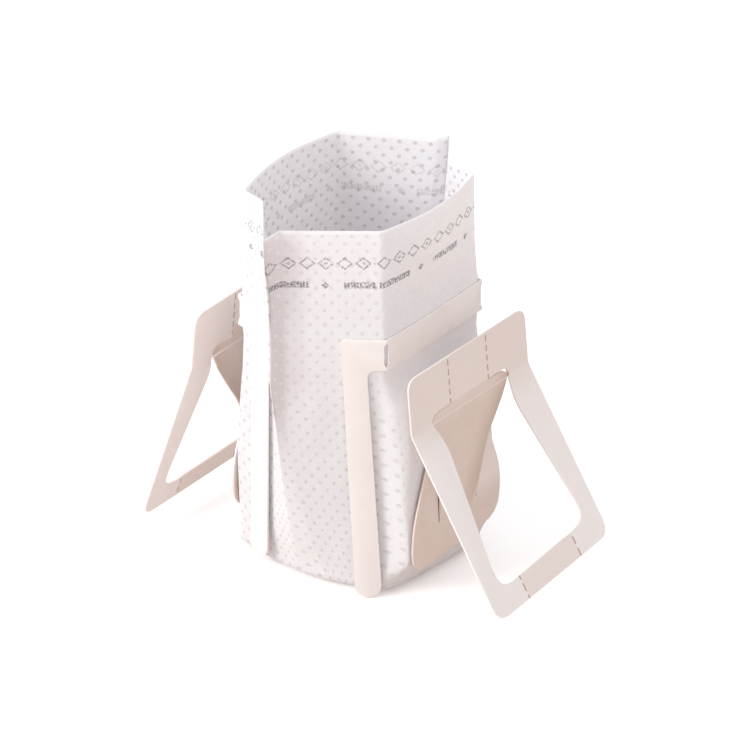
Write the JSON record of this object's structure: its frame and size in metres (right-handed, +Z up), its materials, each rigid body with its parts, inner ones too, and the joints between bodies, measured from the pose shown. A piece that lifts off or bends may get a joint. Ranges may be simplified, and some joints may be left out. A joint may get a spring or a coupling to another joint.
{
  "type": "drip coffee bag",
  "caption": "Opened drip coffee bag: a nonwoven pouch with card gates and fold-out card ears that hook over a cup.",
  "frame": {"origin": "middle of the pouch on the surface that the bag stands on", "axes": "+X towards the right ear, +Y along the side faces towards the shorter seam ridge, +Z up"},
  "size_m": [0.0816, 0.0555, 0.0816],
  "materials": {
    "nonwoven": "thin white nonwoven with a staggered dot emboss",
    "card": "smooth coated off-white card with cut edges"
  },
  "bodies": {
    "root": {"pouch": "nonwoven", "gate_right": "card", "gate_left": "card", "ear_right": "card", "ear_left": "card"}
  },
  "joints": []
}
